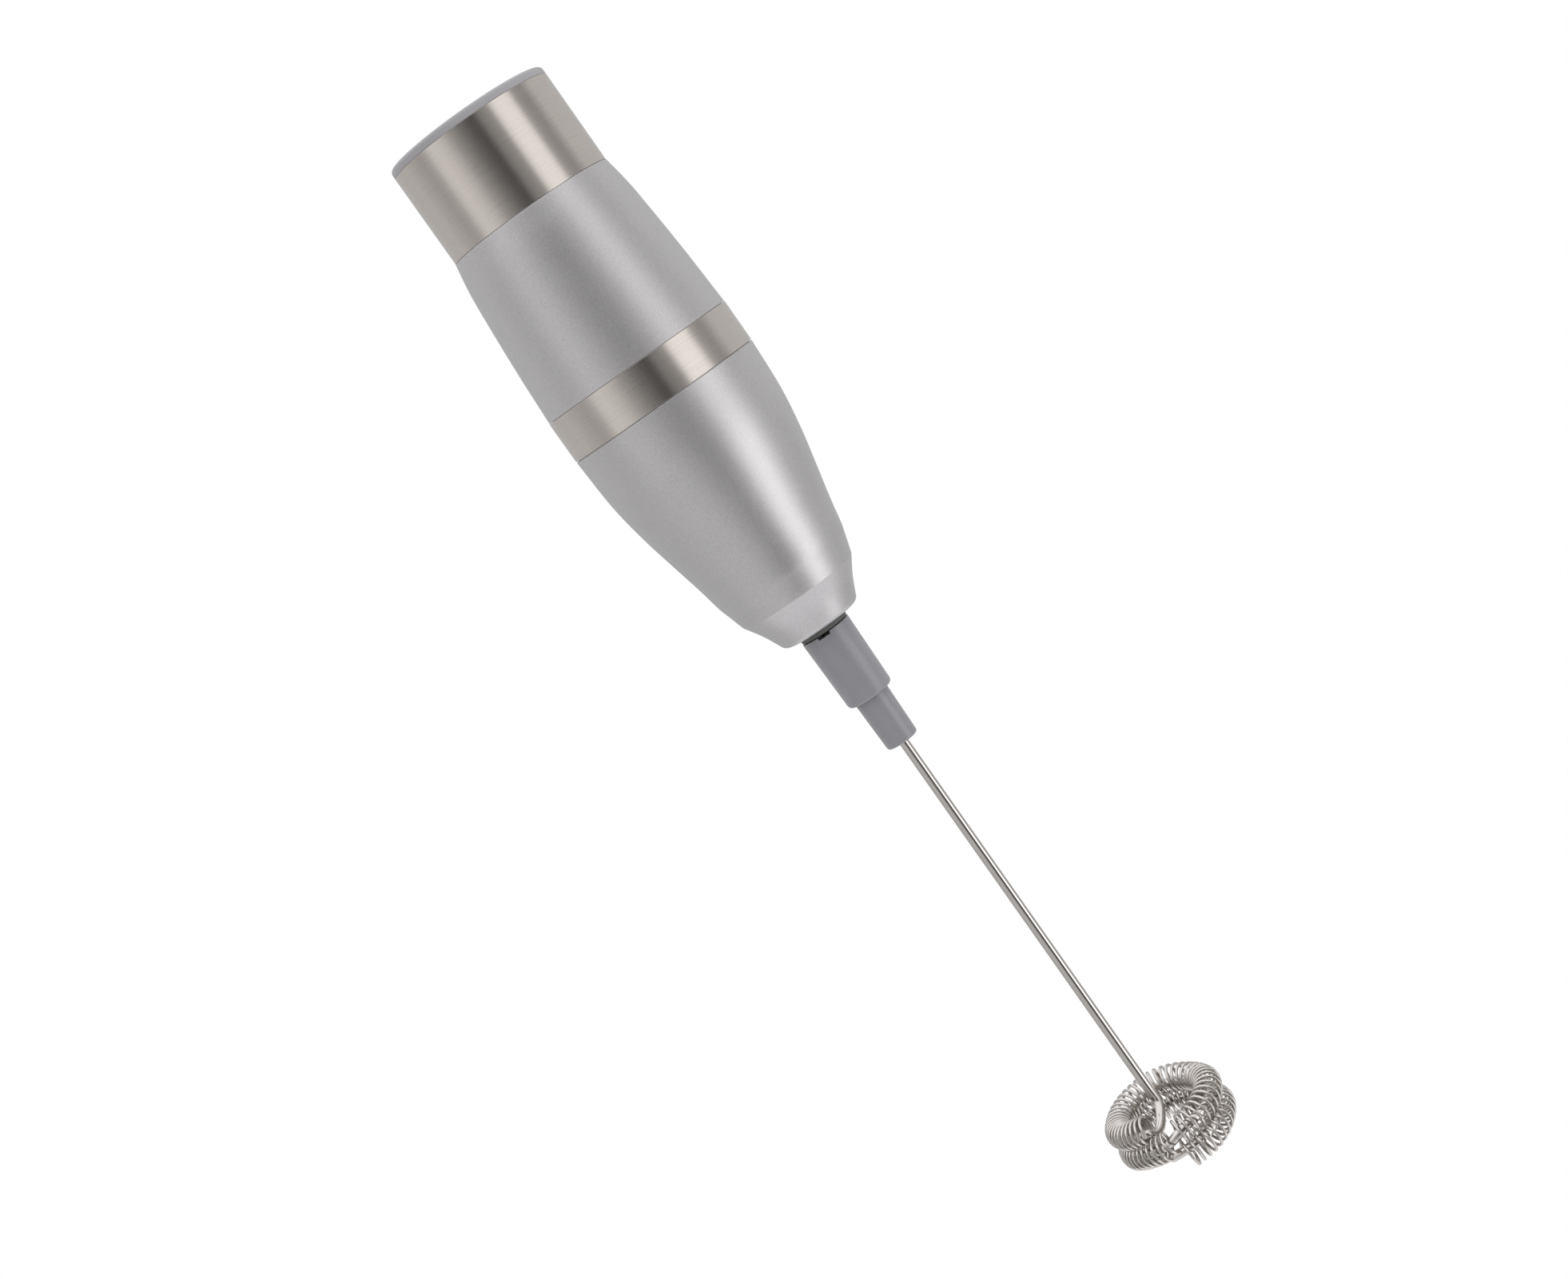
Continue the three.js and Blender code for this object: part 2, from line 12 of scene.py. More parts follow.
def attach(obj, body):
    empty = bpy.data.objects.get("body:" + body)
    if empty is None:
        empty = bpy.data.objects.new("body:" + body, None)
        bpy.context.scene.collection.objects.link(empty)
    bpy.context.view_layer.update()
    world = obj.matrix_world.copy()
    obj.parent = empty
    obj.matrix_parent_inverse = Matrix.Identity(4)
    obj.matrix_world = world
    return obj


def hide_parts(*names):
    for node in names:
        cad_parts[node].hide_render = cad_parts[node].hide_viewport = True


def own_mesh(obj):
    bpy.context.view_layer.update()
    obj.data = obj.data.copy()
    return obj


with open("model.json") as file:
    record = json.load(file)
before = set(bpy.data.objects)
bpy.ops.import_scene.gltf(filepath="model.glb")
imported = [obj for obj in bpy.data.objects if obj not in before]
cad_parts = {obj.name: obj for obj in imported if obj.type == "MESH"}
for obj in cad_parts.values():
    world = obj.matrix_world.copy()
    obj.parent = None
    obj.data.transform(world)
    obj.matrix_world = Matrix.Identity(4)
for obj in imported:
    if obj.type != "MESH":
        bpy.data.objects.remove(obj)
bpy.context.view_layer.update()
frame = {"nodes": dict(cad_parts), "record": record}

MM = 0.001
FINE = 192  # facets round a large turned piece
SMALL = 64  # facets round a small one
CREASE_DEG = 38  # faces that meet at more than this stay sharp
DOME_STEPS = 4  # rings in the domed end of a wire, and its tip
ON_AXIS = 1e-6  # a radius under this is on the axis

# ---------------------------------------------------------------- dimensions, mm
# bands and cover
BAND_R = 19.0
BAND_HALF = 4.07
CAP_R = 16.15
CAP_LOW = 36.25
CAP_HIGH = 54.25
SHEET = 0.5
SEAM = 0.07
SEAM_EDGE = 0.06  # rounding of an edge at a seam
NECK_R = 15.35
NECK_INNER_R = 14.8

# bezel, button and its guide
BEZEL_TOP = 55.9
BEZEL_INNER_R = 13.4
BUTTON_R = 13.1
BUTTON_TOP = 56.6
STEM_R = 2.2
STEM_LOW = 43.0
GUIDE_BORE_R = 2.55

# lower shell and seal
SPIGOT_R = 16.6
SPIGOT_TOP = 3.5
SPIGOT_INNER_R = 14.75
GROOVE_R = 15.35
GROOVE_HALF = 0.75
NOSE_Z = -53.0
NOSE_BORE_R = 3.6
NOSE_RECESS_R = 5.1
NOSE_RECESS_Z = NOSE_Z + 0.4
NOSE_FLOOR_Z = -51.2
SEAL_BORE_R = 1.3

# whisk
COUPLING_TOP = -54.2
COUPLING_STEP = -68.6
COUPLING_LOW = -78.8
CUP_R = 4.2
CUP_DEPTH = 0.55
SHAFT_BORE_R = 1.3
SHAFT_BORE_LOW = -66.4
WIRE_R = 0.93
RING_R = 9.15
RING_X = 0.3
RING_START_DEG = -120
CORE_STEP_DEG = 14
COIL_R = 2.5
COIL_WIRE_R = 0.285
COIL_END_DEG = 697

# cells, battery frame and motor shaft
CELL_LENGTH = 50.2
CELL_R = 7.1
CELL_X = 7.35
CELL_1_LOW = -13.0
CELL_2_LOW = -16.3
FLOOR_Z = -19.1
FLOOR_TOP = -17.3
ROOF_Z = 38.2
ROOF_TOP = 39.8
COLUMN_Y = 7.4
FOOT_Y = 5.5
SCREW_Y = 12.3
SPRING_WIRE_R = 0.3
SHAFT_R = 1.0
SHAFT_LOW = -66.0
SHAFT_TOP = -22.3


# ---------------------------------------------------------------- outlines
def spline(points, steps):
    """A smooth line through points of any dimension, steps points to each stretch."""
    path = [Vector(p) for p in points]
    ends = [2 * path[0] - path[1], *path, 2 * path[-1] - path[-2]]
    line = []
    for i in range(1, len(ends) - 2):
        before, here, there, after = ends[i - 1 : i + 3]
        slope = there - before
        bend = 2 * before - 5 * here + 4 * there - after
        twist = 3 * here - before - 3 * there + after
        for k in range(steps):
            t = k / steps
            line.append(0.5 * (2 * here + slope * t + bend * t**2 + twist * t**3))
    return [*line, path[-1]]


def rounded(corners, closed=True, steps=5):
    """Points of an outline. A corner is (r, z) as it is, or (r, z, radius) to be rounded."""
    line = []
    count = len(corners)
    for i, corner in enumerate(corners):
        here = Vector(corner[:2])
        radius = corner[2] if len(corner) > 2 else 0
        if radius == 0 or (not closed and i in (0, count - 1)):
            line.append(here)
            continue
        before = (Vector(corners[i - 1][:2]) - here).normalized()
        after = (Vector(corners[(i + 1) % count][:2]) - here).normalized()
        half = before.angle(after) / 2
        reach = radius / math.tan(half)
        centre = here + (before + after).normalized() * radius / math.sin(half)
        start = here + before * reach - centre
        end = here + after * reach - centre
        sweep = start.angle(end)
        for k in range(steps + 1):
            t = k / steps
            spoke = start * math.sin((1 - t) * sweep) + end * math.sin(t * sweep)
            line.append(centre + spoke / math.sin(sweep))
    return line


# ---------------------------------------------------------------- meshes
def new_mesh(name, vertices, faces):
    """A smooth mesh with creases at its sharp edges, from vertices in mm."""
    mesh = bpy.data.meshes.new(name)
    mesh.from_pydata([Vector(v) * MM for v in vertices], [], faces)
    work = bmesh.new()
    work.from_mesh(mesh)
    bmesh.ops.recalc_face_normals(work, faces=work.faces)
    work.to_mesh(mesh)
    work.free()
    mesh.shade_smooth()
    mesh.set_sharp_from_angle(angle=math.radians(CREASE_DEG))
    return mesh


def lathe(name, outline, segments=FINE, shift=None):
    """A closed outline of (r, z) turned about Z, or an open one that ends on the axis."""
    open_ends = outline[0][0] < ON_AXIS and outline[-1][0] < ON_AXIS
    rows = len(outline)
    vertices, row_start = [], []
    for r, z in outline:
        row_start.append(len(vertices))
        for k in range(1 if r < ON_AXIS else segments):
            angle = 2 * math.pi * k / segments
            point = Vector((r * math.cos(angle), r * math.sin(angle), z))
            vertices.append(shift(point) if shift else point)
    faces = []
    for i in range(rows - 1 if open_ends else rows):
        low, high = row_start[i], row_start[(i + 1) % rows]
        low_pole = outline[i][0] < ON_AXIS
        high_pole = outline[(i + 1) % rows][0] < ON_AXIS
        for k in range(segments):
            n = (k + 1) % segments
            if low_pole:
                faces.append((low, high + n, high + k))
            elif high_pole:
                faces.append((low + k, low + n, high))
            else:
                faces.append((low + k, low + n, high + n, high + k))
    return new_mesh(name, vertices, faces)


def rope(name, path, radius, sides):
    """A round wire along a path, with domed ends."""
    path = [Vector(p) for p in path]
    tangents = []
    for i in range(len(path)):
        tangents.append((path[min(i + 1, len(path) - 1)] - path[max(i - 1, 0)]).normalized())
    normal = tangents[0].orthogonal().normalized()
    rings = []
    for i, (point, tangent) in enumerate(zip(path, tangents)):
        if i:
            normal = tangents[i - 1].rotation_difference(tangent) @ normal
            normal = (normal - tangent * normal.dot(tangent)).normalized()
        side = tangent.cross(normal)
        rings.append((point, normal.copy(), side, 1.0))

    def dome_ring(end, outward, angle):
        """A ring of the dome that closes the first or last end of the wire."""
        point, across, side, _ = rings[end]
        return point + outward * radius * math.sin(angle), across, side, math.cos(angle)

    angles = [math.pi / 2 * k / DOME_STEPS for k in range(1, DOME_STEPS)]
    first = [dome_ring(0, -tangents[0], angle) for angle in reversed(angles)]
    last = [dome_ring(-1, tangents[-1], angle) for angle in angles]
    rings = [*first, *rings, *last]
    vertices = [path[0] - tangents[0] * radius]
    for point, across, side, scale in rings:
        for k in range(sides):
            angle = 2 * math.pi * k / sides
            vertices.append(point + (across * math.cos(angle) + side * math.sin(angle)) * radius * scale)
    vertices.append(path[-1] + tangents[-1] * radius)
    end = len(vertices) - 1
    faces = []
    for k in range(sides):
        n = (k + 1) % sides
        faces.append((0, 1 + n, 1 + k))
        for i in range(len(rings) - 1):
            low, high = 1 + i * sides, 1 + (i + 1) * sides
            faces.append((low + k, low + n, high + n, high + k))
        faces.append((end - sides + k, end - sides + n, end))
    return new_mesh(name, vertices, faces)


# ---------------------------------------------------------------- materials
# sockets of a Mix node that mixes colours
MIX_FIRST = 6
MIX_SECOND = 7
MIX_RESULT = 2


def add_node(tree, kind, inputs=None, **settings):
    """A shader node with its inputs set to values or linked to other nodes' sockets."""
    node = tree.nodes.new("ShaderNode" + kind)
    for name, value in settings.items():
        setattr(node, name, value)
    for socket, value in (inputs or {}).items():
        if isinstance(value, bpy.types.NodeSocket):
            tree.links.new(value, node.inputs[socket])
        else:
            node.inputs[socket].default_value = value
    return node


def new_material(name):
    """An empty material with a Principled shader, as (material, tree, shader)."""
    material = bpy.data.materials.new(name)
    material.use_nodes = True
    tree = material.node_tree
    return material, tree, tree.nodes["Principled BSDF"]


def grain(tree, size, stretch=(1, 1, 1), detail=3.0, roughness=0.55):
    """Noise whose features are about size mm across, longer where stretch is more than 1."""
    place = add_node(tree, "TexCoord")
    scaled = add_node(tree, "Mapping", {
        "Vector": place.outputs["Object"], "Scale": [1 / s for s in stretch],
    })
    noise = add_node(tree, "TexNoise", {
        "Vector": scaled.outputs["Vector"], "Scale": 1 / (size * MM), "Detail": detail,
        "Roughness": roughness,
    })
    return noise.outputs["Fac"]


def between(tree, value, low, high):
    """Noise, which stays from about 0.3 to 0.7, spread over low to high."""
    spread = add_node(tree, "MapRange", {
        "Value": value, "From Min": 0.3, "From Max": 0.7, "To Min": low, "To Max": high,
    })
    return spread.outputs["Result"]


def mix(tree, share, first, second):
    """A colour from first to second, each of them a colour or a socket."""
    inputs = {"Factor": share, MIX_FIRST: first, MIX_SECOND: second}
    return add_node(tree, "Mix", inputs, data_type="RGBA").outputs[MIX_RESULT]


def shade(tree, value, dark, light):
    """A colour between dark and light."""
    return mix(tree, value, (*dark, 1), (*light, 1))


def bump(tree, heights, shader):
    """Bumps one over another, as (height socket, depth in mm) pairs."""
    normal = None
    for height, depth in heights:
        node = add_node(tree, "Bump", {"Height": height, "Distance": depth * MM, "Strength": 1.0})
        if normal:
            tree.links.new(normal, node.inputs["Normal"])
        normal = node.outputs["Normal"]
    tree.links.new(normal, shader.inputs["Normal"])


def silver_paint():
    """Satin metallic paint on plastic: fine flake under a thin clear coat."""
    material, tree, shader = new_material("silver_paint")
    flake = grain(tree, 0.13, detail=1.5, roughness=0.7)
    tone = shade(tree, between(tree, flake, 0, 1), (0.47, 0.459, 0.465), (0.685, 0.669, 0.677))
    tree.links.new(tone, shader.inputs["Base Color"])
    tree.links.new(between(tree, flake, 0.33, 0.43), shader.inputs["Roughness"])
    shader.inputs["Metallic"].default_value = 0.75
    shader.inputs["Coat Weight"].default_value = 0.12
    shader.inputs["Coat Roughness"].default_value = 0.3
    bump(tree, [(flake, 0.009), (grain(tree, 1.1), 0.0006)], shader)
    return material


def brushed_steel():
    """Stainless sheet brushed round the axis, so highlights smear along it."""
    material, tree, shader = new_material("brushed_steel")
    fine = grain(tree, 0.12, stretch=(3, 3, 1), detail=2.0)
    coarse = grain(tree, 0.3, stretch=(24, 24, 1))
    tone = shade(tree, coarse, (0.565, 0.522, 0.487), (0.655, 0.607, 0.568))
    tree.links.new(tone, shader.inputs["Base Color"])
    tree.links.new(between(tree, fine, 0.15, 0.22), shader.inputs["Roughness"])
    shader.inputs["Metallic"].default_value = 1.0
    shader.inputs["Anisotropic"].default_value = 0.85
    shader.inputs["Anisotropic Rotation"].default_value = 0.25
    tangent = add_node(tree, "Tangent", direction_type="RADIAL", axis="Z")
    tree.links.new(tangent.outputs["Tangent"], shader.inputs["Tangent"])
    bump(tree, [(fine, 0.0016), (coarse, 0.0003)], shader)
    return material


def plastic(name, dark, light, roughness, texture, depth):
    """Moulded plastic: an even colour with a fine spark-eroded texture."""
    material, tree, shader = new_material(name)
    pits = grain(tree, texture)
    tree.links.new(shade(tree, grain(tree, 3.0), dark, light), shader.inputs["Base Color"])
    tree.links.new(between(tree, pits, roughness - 0.04, roughness + 0.06), shader.inputs["Roughness"])
    bump(tree, [(pits, depth)], shader)
    return material


def metal(name, dark, light, roughness, texture, depth):
    """Bare metal, its tone and gloss broken by fine marks."""
    material, tree, shader = new_material(name)
    marks = grain(tree, texture)
    tree.links.new(shade(tree, grain(tree, 2.0), dark, light), shader.inputs["Base Color"])
    tree.links.new(between(tree, marks, roughness * 0.8, roughness * 1.3), shader.inputs["Roughness"])
    shader.inputs["Metallic"].default_value = 1.0
    bump(tree, [(marks, depth)], shader)
    return material


# darkest and lightest tone, roughness, size of the texture and its depth in mm
PLASTICS = {
    "grey_plastic": ((0.405, 0.397, 0.415), (0.435, 0.427, 0.445), 0.5, 0.12, 0.004),
    "coupling_plastic": ((0.305, 0.302, 0.325), (0.33, 0.326, 0.35), 0.25, 0.3, 0.0008),
    "dark_plastic": ((0.025, 0.026, 0.029), (0.035, 0.036, 0.04), 0.5, 0.15, 0.004),
    "dark_rubber": ((0.118, 0.12, 0.11), (0.142, 0.144, 0.134), 0.7, 0.2, 0.004),
    "ferrite": ((0.035, 0.035, 0.037), (0.055, 0.055, 0.058), 0.7, 0.1, 0.01),
    "cell_jacket": ((0.035, 0.085, 0.06), (0.045, 0.10, 0.07), 0.3, 1.2, 0.002),
    "red_insulation": ((0.32, 0.02, 0.015), (0.40, 0.03, 0.02), 0.42, 0.4, 0.003),
    "black_insulation": ((0.012, 0.012, 0.014), (0.02, 0.02, 0.022), 0.42, 0.4, 0.003),
}
METALS = {
    "bright_wire": ((0.55, 0.52, 0.495), (0.64, 0.61, 0.585), 0.11, 0.3, 0.0004),
    "brass": ((0.60, 0.42, 0.14), (0.70, 0.50, 0.19), 0.28, 0.2, 0.001),
    "bronze": ((0.48, 0.25, 0.12), (0.58, 0.31, 0.15), 0.3, 0.2, 0.001),
    "copper": ((0.50, 0.18, 0.07), (0.62, 0.24, 0.09), 0.3, 0.25, 0.03),
    "zinc_steel": ((0.50, 0.51, 0.52), (0.62, 0.63, 0.64), 0.32, 0.2, 0.001),
}
MATERIALS = {"silver_paint": silver_paint(), "brushed_steel": brushed_steel()}
for slot_name, look in PLASTICS.items():
    MATERIALS[slot_name] = plastic(slot_name, *look)
for slot_name, look in METALS.items():
    MATERIALS[slot_name] = metal(slot_name, *look)


def piece(name, mesh, body, slot, *nodes):
    """Puts a mesh in the scene on its body, in its finish, in place of CAD nodes."""
    mesh.materials.append(MATERIALS[slot])
    thing = bpy.data.objects.new(name, mesh)
    bpy.context.scene.collection.objects.link(thing)
    normals = thing.modifiers.new("even_normals", "WEIGHTED_NORMAL")
    normals.keep_sharp = True
    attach(thing, body)
    if nodes:
        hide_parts(*nodes)
    return thing


# ---------------------------------------------------------------- cover pieces
def upper_shell():
    """The painted barrel, with a skirt inside the grip band and a neck inside the cap band."""
    low, high = BAND_HALF + SEAM, CAP_LOW - SEAM
    skirt_r, skirt_inner_r, skirt_low = 18.2, 16.95, -3.97
    outer = spline([(18.93, low), (18.37, 15), (17.7, 24.2), (17.1, 30.7), (16.2, high)], 12)
    inner = spline([
        (NECK_INNER_R, 36.2), (15.5, 30.7), (16.1, 24.2), (16.75, 15), (skirt_inner_r, 8),
    ], 6)
    return rounded([
        (skirt_inner_r, skirt_low, 0.2), (skirt_r, skirt_low, 0.2), (skirt_r, low),
        (*outer[0], SEAM_EDGE), *outer[1:-1], (*outer[-1], SEAM_EDGE), (NECK_R, high), (NECK_R, 50.0, 0.2),
        (NECK_INNER_R, 50.0, 0.2), (NECK_INNER_R, 46.0), (13.6, 46.0, 0.2), (13.6, 45.0, 0.2),
        (NECK_INNER_R, 44.0), *inner,
    ])


def band(radius, low, high):
    """A sleeve of thin steel with eased edges."""
    return rounded([
        (radius - SHEET, low, 0.1), (radius, low, SEAM_EDGE), (radius, high, SEAM_EDGE),
        (radius - SHEET, high, 0.1),
    ])


def bezel():
    """The fixed grey rim round the button, seated on the cap band."""
    seat, outer_r = CAP_HIGH + 0.03, CAP_R - 0.02
    return rounded([
        (14.2, 50.3, 0.2), (NECK_R, 50.3, 0.2), (NECK_R, seat), (outer_r, seat, 0.1),
        (outer_r, BEZEL_TOP, 0.8), (BEZEL_INNER_R, BEZEL_TOP, 0.25), (BEZEL_INNER_R, 54.6), (14.2, 54.6),
    ], steps=8)


def button():
    """A shallow dome with a flange under the bezel and a stem down to the switch."""
    dome = spline([
        (BUTTON_R, BEZEL_TOP - 0.1), (11.5, BEZEL_TOP + 0.25), (6.5, BUTTON_TOP - 0.15), (0, BUTTON_TOP),
    ], 8)
    return rounded([
        (0, STEM_LOW), (STEM_R, STEM_LOW, 0.3), (STEM_R, 54.5, 0.3), (12.0, 54.5, 0.3), (12.0, 52.6, 0.2),
        (13.8, 52.6, 0.2), (13.8, 54.2, 0.2), (BUTTON_R, 54.2), (BUTTON_R, BEZEL_TOP - 0.15, 0.45), *dome[2:],
    ], closed=False)


def button_guide():
    """The disc in the neck whose collar the button's stem slides in."""
    return rounded([
        (GUIDE_BORE_R, 46.3, 0.15), (14.5, 46.3, 0.2), (14.5, 47.8, 0.2), (4.0, 47.8, 0.3),
        (4.0, 49.8, 0.2), (GUIDE_BORE_R, 49.8, 0.2),
    ])


def cover():
    """The cover's shell, bands and rim, the stem's guide and the button."""
    cap = lathe("cap_band", band(CAP_R, CAP_LOW, CAP_HIGH))
    grip = lathe("grip_band", band(BAND_R, -BAND_HALF, BAND_HALF))
    guide = lathe("stem_guide", button_guide(), SMALL)
    piece("silver_upper_shell", lathe("upper_shell", upper_shell()), "cover", "silver_paint", "upper_shell")
    piece("steel_cap_band", cap, "cover", "brushed_steel", "cap_band")
    piece("steel_grip_band", grip, "cover", "brushed_steel", "grip_band")
    piece("grey_bezel", lathe("bezel", bezel()), "cover", "grey_plastic", "top_bezel")
    piece("stem_guide", guide, "cover", "dark_plastic", "button_guide")
    piece("grey_button", lathe("button", button()), "button", "grey_plastic", "button_cap")


cover()


# ---------------------------------------------------------------- handle pieces
def lower_shell():
    """The painted barrel and nose, with a spigot and an O-ring groove inside the cover."""
    rim_r, rim = 18.97, -BAND_HALF - 0.2
    step_r, lip_r, lip = 18.75, 18.3, -BAND_HALF + 0.02
    step = lip - 0.14
    nose = spline([
        (8.26, -52), (8.72, -51), (9.19, -50), (9.69, -49), (10.25, -48), (10.87, -47), (11.5, -46),
    ], 3)
    barrel = spline([
        (12.05, -44.8), (12.87, -42), (13.44, -40), (14.37, -35.2), (15.87, -28.5), (17.25, -22),
        (18.42, -14.2), (rim_r, rim),
    ], 6)
    wall = spline([(14.95, -24), (14.2, -28.5), (12.75, -35.2), (11.8, -40.5), (10.6, -44.2)], 4)
    return rounded([
        (NOSE_BORE_R, NOSE_RECESS_Z, 0.1), (NOSE_RECESS_R, NOSE_RECESS_Z), (NOSE_RECESS_R, NOSE_Z, 0.12),
        (7.8, NOSE_Z, 1.33), *nose, (11.81, -45.55, 1.0), *barrel[:-1],
        (rim_r, rim, 0.08), (step_r, rim), (step_r, step), (lip_r, step), (lip_r, lip), (SPIGOT_R, lip),
        (SPIGOT_R, -GROOVE_HALF, 0.1), (GROOVE_R, -GROOVE_HALF), (GROOVE_R, GROOVE_HALF),
        (SPIGOT_R, GROOVE_HALF, 0.1), (SPIGOT_R, SPIGOT_TOP, 0.4), (SPIGOT_INNER_R, SPIGOT_TOP, 0.2),
        (SPIGOT_INNER_R, -22.5), *wall, (10.2, -46.2), (8.4, -46.2), (6.4, NOSE_FLOOR_Z),
        (NOSE_BORE_R, NOSE_FLOOR_Z, 0.15),
    ], steps=7)


def seal():
    """A rubber grommet that clips into the nose's bore, round the shaft."""
    flange_r, waist_r, clip_r = 4.8, 3.3, 5.2
    low, top = -54.05, -49.9
    return rounded([
        (SEAL_BORE_R, low, 0.1), (flange_r, low, 0.2), (flange_r, -52.9, 0.1), (waist_r, -52.9),
        (waist_r, -50.9), (clip_r, -50.9, 0.1), (clip_r, top, 0.1), (SEAL_BORE_R, top, 0.1),
    ])


piece("silver_lower_shell", lathe("lower_shell", lower_shell()), "handle", "silver_paint", "lower_shell")
piece("rubber_shaft_seal", lathe("shaft_seal", seal(), SMALL), "handle", "dark_rubber", "shaft_seal")


# ---------------------------------------------------------------- whisk pieces
def coupling():
    """A two-step grey moulding: a cup and shaft bore above, a socket for the wire below."""
    cup_floor = COUPLING_TOP - CUP_DEPTH
    socket_r, socket_top = 1.0, COUPLING_LOW + 1.5
    step = COUPLING_STEP - 0.1
    return rounded([
        (0, socket_top), (socket_r, socket_top), (socket_r, COUPLING_LOW, 0.1), (3.18, COUPLING_LOW, 0.5),
        (3.4, step), (4.6, step, 0.85), (4.88, COUPLING_TOP, 0.12), (CUP_R, COUPLING_TOP, 0.12),
        (CUP_R, cup_floor, 0.15), (SHAFT_BORE_R, cup_floor, 0.2), (SHAFT_BORE_R, SHAFT_BORE_LOW),
        (0, SHAFT_BORE_LOW),
    ], closed=False, steps=6)


def notch(point):
    """Sinks the coupling's rim over a short stretch at the front."""
    half_width, depth, foot = 1.3, 0.5, COUPLING_TOP - 0.9
    inside_y = -3.5
    turn = math.radians(-10.6)
    side = point.x * math.cos(turn) + point.y * math.sin(turn)
    if point.y > inside_y or point.z <= foot or abs(side) > half_width:
        return point
    share = (point.z - foot) / (COUPLING_TOP - foot)
    return Vector((point.x, point.y, point.z - depth * share))


def ring_height(turn_deg):
    """Height of the double ring's centre after so many degrees, clockwise from above."""
    knots = [
        (-90, -161.56), (0, -161.66), (57, -162.06), (147, -161.01), (237, -163.06), (314, -164.41),
        (360, -166.16), (417, -166.56), (507, -165.46), (597, -167.5), (674, -169.2), (740, -170.1),
    ]
    for (t0, z0), (t1, z1) in zip(knots, knots[1:]):
        if turn_deg <= t1:
            u = (turn_deg - t0) / (t1 - t0)
            return z0 + (z1 - z0) * u * u * (3 - 2 * u)
    return knots[-1][1]


def ring_point(turn_deg, drop=0.0):
    """A point on the ring's centre line, or so far under it."""
    angle = math.radians(RING_START_DEG - turn_deg)
    x = RING_X + RING_R * math.cos(angle)
    return Vector((x, RING_R * math.sin(angle), ring_height(turn_deg) - drop))


def core_path():
    """Down the axis, out through a hook, then round inside the spring."""
    hook = [
        (0, 0, -69.5), (0, 0, -90), (0, 0, -110), (0, 0, -130), (0, 0, -150),
        (0.02, 0, -157), (0.06, 0, -159.4), (0.1, -0.1, -160.8),
        (-0.28, -0.8, -161.93), (-0.98, -1.8, -162.94), (-1.8, -3, -163.7), (-2.7, -4.2, -164.11),
        (-3.65, -5.3, -164.06), (-4.47, -6.2, -163.52), (-5, -6.8, -162.65),
    ]
    # how far the wire lies under the ring's centre line, at so many degrees round it
    drops = [
        (17, 0.9), (40, 1.1), (120, 1.0), (260, 0.6), (347, 0.0), (450, 0.2), (600, -0.4), (690, -0.9),
        (727, -1.5),
    ]
    ring = []
    for (t0, d0), (t1, d1) in zip(drops, drops[1:]):
        steps = max(2, round((t1 - t0) / CORE_STEP_DEG))
        for k in range(steps):
            u = k / steps
            ring.append(ring_point(t0 + (t1 - t0) * u, d0 + (d1 - d0) * u))
    return spline([*hook, *ring], 6)


def loops_per_turn(turn_deg):
    """Loops are closest at the front left and stretched where the turns pass the front."""
    stretch_from, stretch_to = 334, 350
    stretched, usual, closest = 14, 45, 58
    if stretch_from < turn_deg < stretch_to:
        return stretched
    nearness = max(0.0, math.cos(math.radians(RING_START_DEG - turn_deg + 145)))
    return usual + (closest - usual) * nearness**2


def spring_path():
    """The thin wire's helix round the ring, wound a little unevenly."""
    steps_per_loop = 18
    unevenness, uneven_rate = 0.012, 0.037
    points = []
    phase, turn = 0.0, 0.0
    while turn < COIL_END_DEG:
        angle = math.radians(phase)
        centre = ring_point(turn)
        outward = Vector((centre.x - RING_X, centre.y, 0)).normalized()
        radius = COIL_R * (1 + unevenness * math.sin(uneven_rate * phase))
        upward = Vector((0, 0, radius * math.sin(angle)))
        points.append(centre + outward * radius * math.cos(angle) + upward)
        phase += 360 / steps_per_loop
        turn += 360 / (loops_per_turn(turn) * steps_per_loop)
    return points


def whisk():
    """The coupling, the thick wire and the spring threaded on its ring."""
    grey = lathe("coupling", coupling(), FINE, notch)
    core = rope("core", core_path(), WIRE_R, 20)
    ring_spring = rope("ring_spring", spring_path(), COIL_WIRE_R, 10)
    piece("grey_coupling", grey, "whisk", "coupling_plastic", "whisk_coupling")
    piece("whisk_core", core, "whisk", "bright_wire", "whisk_wire")
    piece("whisk_ring_spring", ring_spring, "whisk", "bright_wire", "whisk_spring")


whisk()


# ---------------------------------------------------------------- inside pieces
def turned_at(name, outline, y):
    """A turned piece on an upright axis of its own, to one side of the drive axis."""
    return lathe(name, outline, SMALL, lambda point: point + Vector((0, y, 0)))


def coil(x, low_radius, high_radius, low, high, turns, start_deg=0):
    """Points on a spring's helix round an upright axis at x, widening from low to high."""
    points = []
    count = round(turns * 36)
    for i in range(count + 1):
        u = i / count
        angle = math.radians(start_deg + 360 * turns * u)
        radius = low_radius + (high_radius - low_radius) * u
        z = low + (high - low) * u
        points.append(Vector((x + radius * math.cos(angle), radius * math.sin(angle), z)))
    return points


